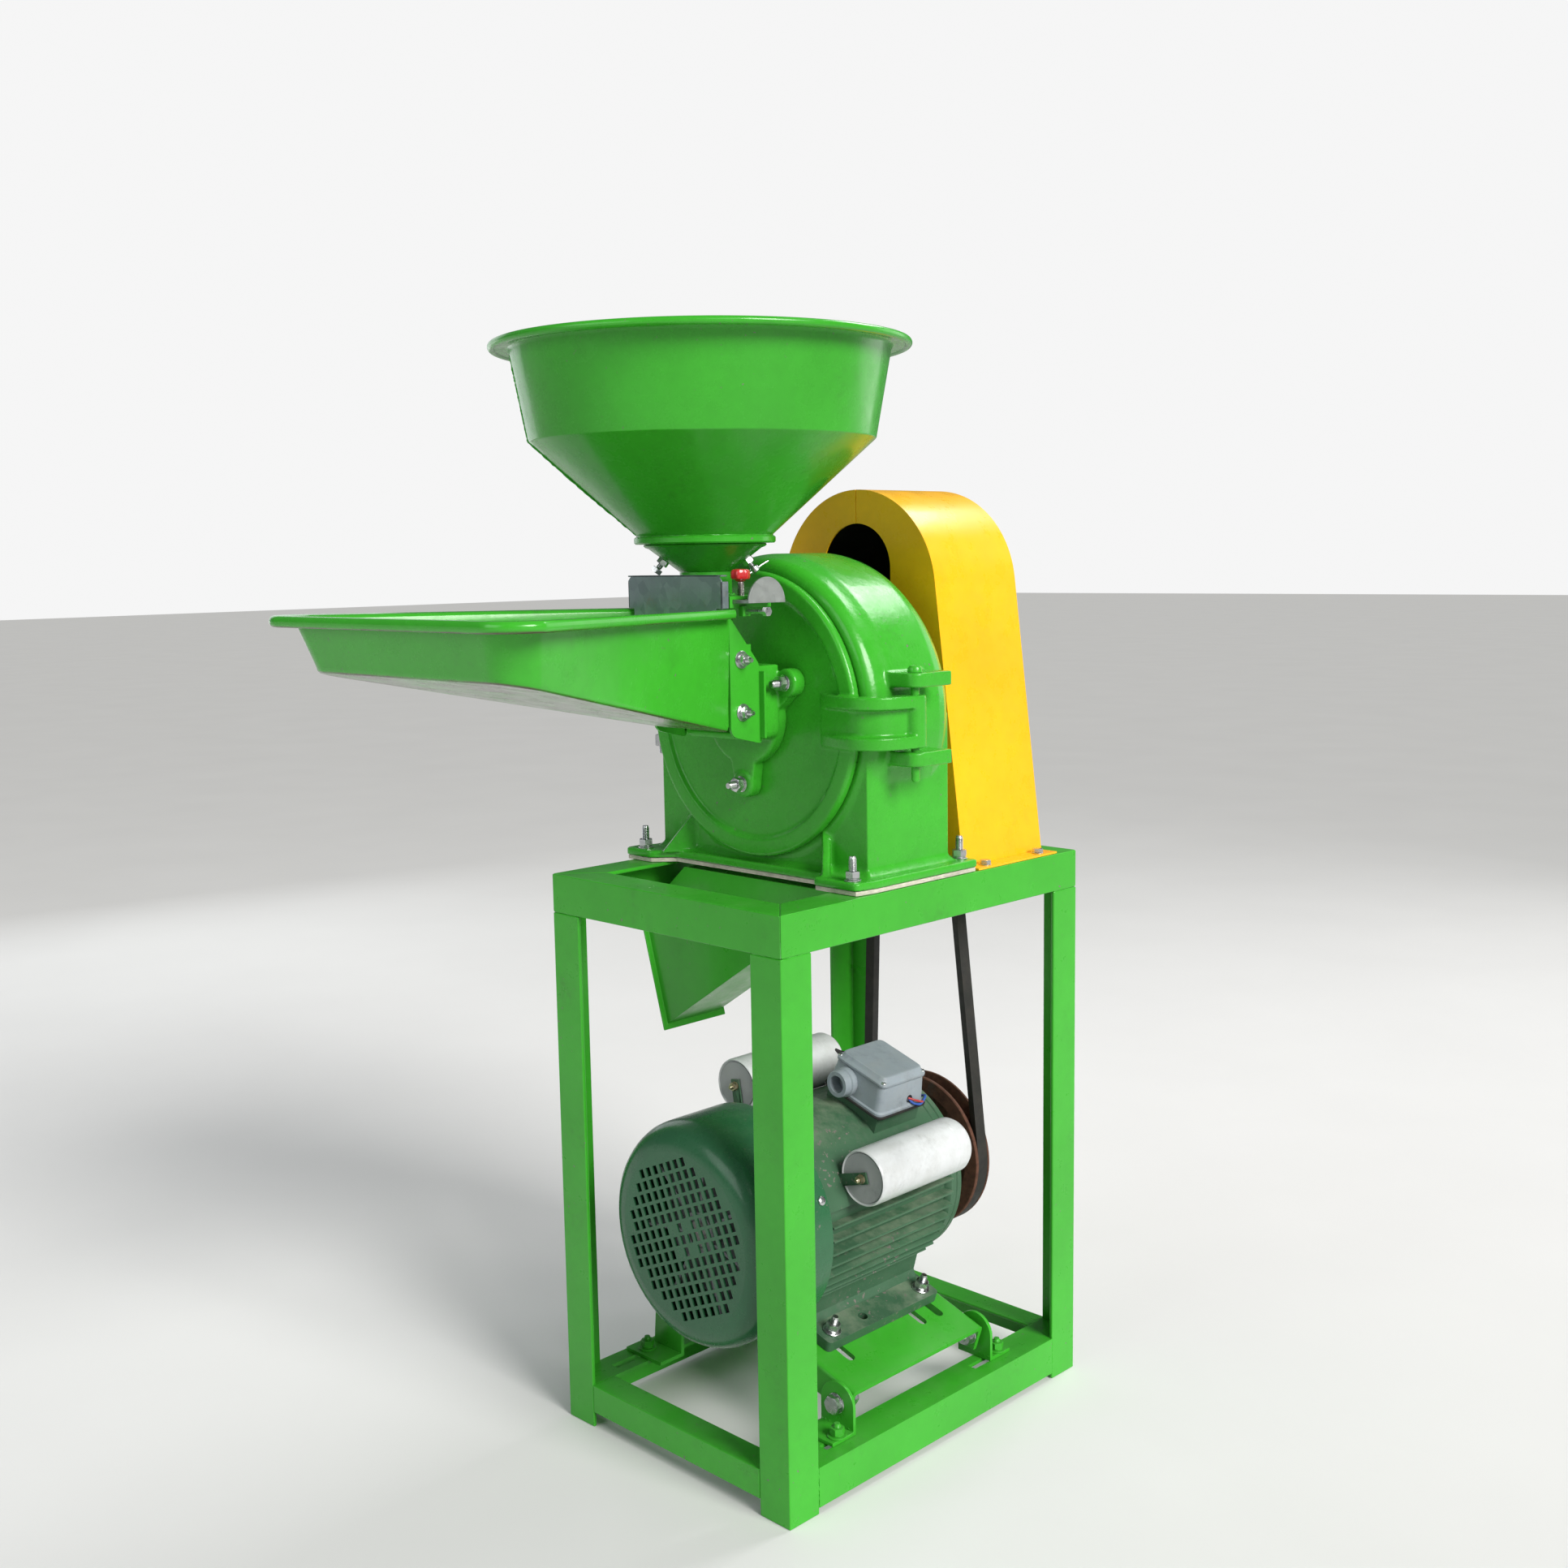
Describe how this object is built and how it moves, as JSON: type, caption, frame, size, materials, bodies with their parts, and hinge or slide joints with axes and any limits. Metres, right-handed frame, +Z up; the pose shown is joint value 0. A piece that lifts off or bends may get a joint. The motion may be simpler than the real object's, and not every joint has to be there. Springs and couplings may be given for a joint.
{
  "type": "hammer mill",
  "caption": "Belt-driven grain mill on an angle-iron stand: round chamber with hinged door, feed tray, hopper with slide gate, side chute, motor on a tilting plate.",
  "frame": {"origin": "on the floor, under the middle of the whole machine's plan box", "axes": "+Z up; +Y from the door and feed tray towards the belt cover; +X to the right seen from the door side"},
  "size_m": [0.4, 0.7564, 1.105],
  "materials": {
    "stand_paint": "gloss enamel",
    "casting_paint": "gloss enamel on cast iron",
    "tray_paint": "gloss enamel on sheet",
    "motor_paint": "semi-gloss enamel",
    "yellow_paint": "gloss enamel",
    "steel": "zinc plated",
    "galvanised": "dull galvanised",
    "dark_iron": "machined",
    "rusty_iron": "surface rust",
    "grey_plastic": "satin",
    "pale_plastic": "satin",
    "red_plastic": "moulded",
    "rubber": "matt",
    "board": "raw board"
  },
  "bodies": {
    "stand": {"leg_front_left": "stand_paint", "leg_front_right": "stand_paint", "leg_back_right": "stand_paint", "leg_back_left": "stand_paint", "top_rail_front": "stand_paint", "top_rail_right": "stand_paint", "top_rail_back": "stand_paint", "top_rail_left": "stand_paint", "bottom_rail_right": "stand_paint", "bottom_rail_left": "stand_paint", "bottom_rail_front": "stand_paint", "bottom_rail_back": "stand_paint", "packing": "board", "mill_casing": "casting_paint", "ring_screen": "steel", "hinge_pin": "steel", "bearing_housing": "casting_paint", "bearing_front": "steel", "bearing_rear": "steel", "belt_cover": "yellow_paint", "discharge_chute": "stand_paint", "drive_belt": "rubber", "hinge_bracket_front": "stand_paint", "hinge_bracket_rear": "stand_paint", "tension_bracket_front": "stand_paint", "tension_bracket_rear": "stand_paint", "hinge_bolt_front": "steel", "hinge_bolt_rear": "steel"},
    "door": {"mill_door": "casting_paint", "fixed_claw_disc": "dark_iron", "feed_spout": "casting_paint", "cheek_right": "stand_paint", "cheek_left": "stand_paint", "feed_tray": "tray_paint", "tray_guard": "galvanised", "gate_box": "stand_paint", "funnel": "tray_paint", "hopper": "tray_paint"},
    "gate": {"slide_gate": "galvanised"},
    "knob": {"gate_knob": "red_plastic"},
    "clamp": {"clamp_bolt": "steel"},
    "nut": {"clamp_nut": "steel"},
    "rotor": {"rotor_shaft": "steel", "rotor_disc": "dark_iron", "rotor_pulley": "rusty_iron"},
    "motor": {"motor_plate": "stand_paint", "motor_frame": "motor_paint", "motor_stator": "dark_iron", "motor_end_shield": "motor_paint", "fan_cowl": "motor_paint", "capacitor_right": "pale_plastic", "capacitor_left": "pale_plastic", "terminal_box": "grey_plastic", "terminal_lid": "grey_plastic", "tension_bolt_front": "steel", "tension_bolt_rear": "steel"},
    "motor_rotor": {"motor_shaft": "steel", "motor_fan": "grey_plastic", "motor_pulley": "rusty_iron"}
  },
  "joints": [
    {"name": "door_hinge", "type": "hinge", "parent": "stand", "child": "door", "pos_m": [0.177, 0.0978, 0.748], "axis": [0, 0, 1], "range_deg": [0, 100]},
    {"name": "gate_slide", "type": "slide", "parent": "door", "child": "gate", "axis": [1, 0, 0], "range_m": [0, 0.045]},
    {"name": "knob_turn", "type": "hinge", "parent": "door", "child": "knob", "pos_m": [0.048, -0.0032, 0.885], "axis": [0, 0, 1], "range_deg": [0, 180]},
    {"name": "clamp_swing", "type": "hinge", "parent": "stand", "child": "clamp", "pos_m": [-0.159, 0.0758, 0.749], "axis": [1, 0, 0], "range_deg": [-90, 0]},
    {"name": "clamp_nut_turn", "type": "hinge", "parent": "clamp", "child": "nut", "pos_m": [-0.159, 0.0758, 0.711], "axis": [0, 0, 1], "continuous": true},
    {"name": "plate_tilt", "type": "hinge", "parent": "stand", "child": "motor", "pos_m": [0.126, 0.1518, 0.074], "axis": [0, 1, 0], "range_deg": [-2.5, 2.5], "deforming": ["drive_belt"]},
    {"name": "motor_spin", "type": "hinge", "parent": "motor", "child": "motor_rotor", "pos_m": [0.0188, 0.1518, 0.2436], "axis": [0, 1, 0], "continuous": true},
    {"name": "rotor_spin", "type": "hinge", "parent": "stand", "child": "rotor", "pos_m": [0, 0.1518, 0.7485], "axis": [0, 1, 0], "continuous": true}
  ],
  "couplings": [
    {"joint": "rotor_spin", "follows": "motor_spin", "ratio": 1.7708}
  ]
}
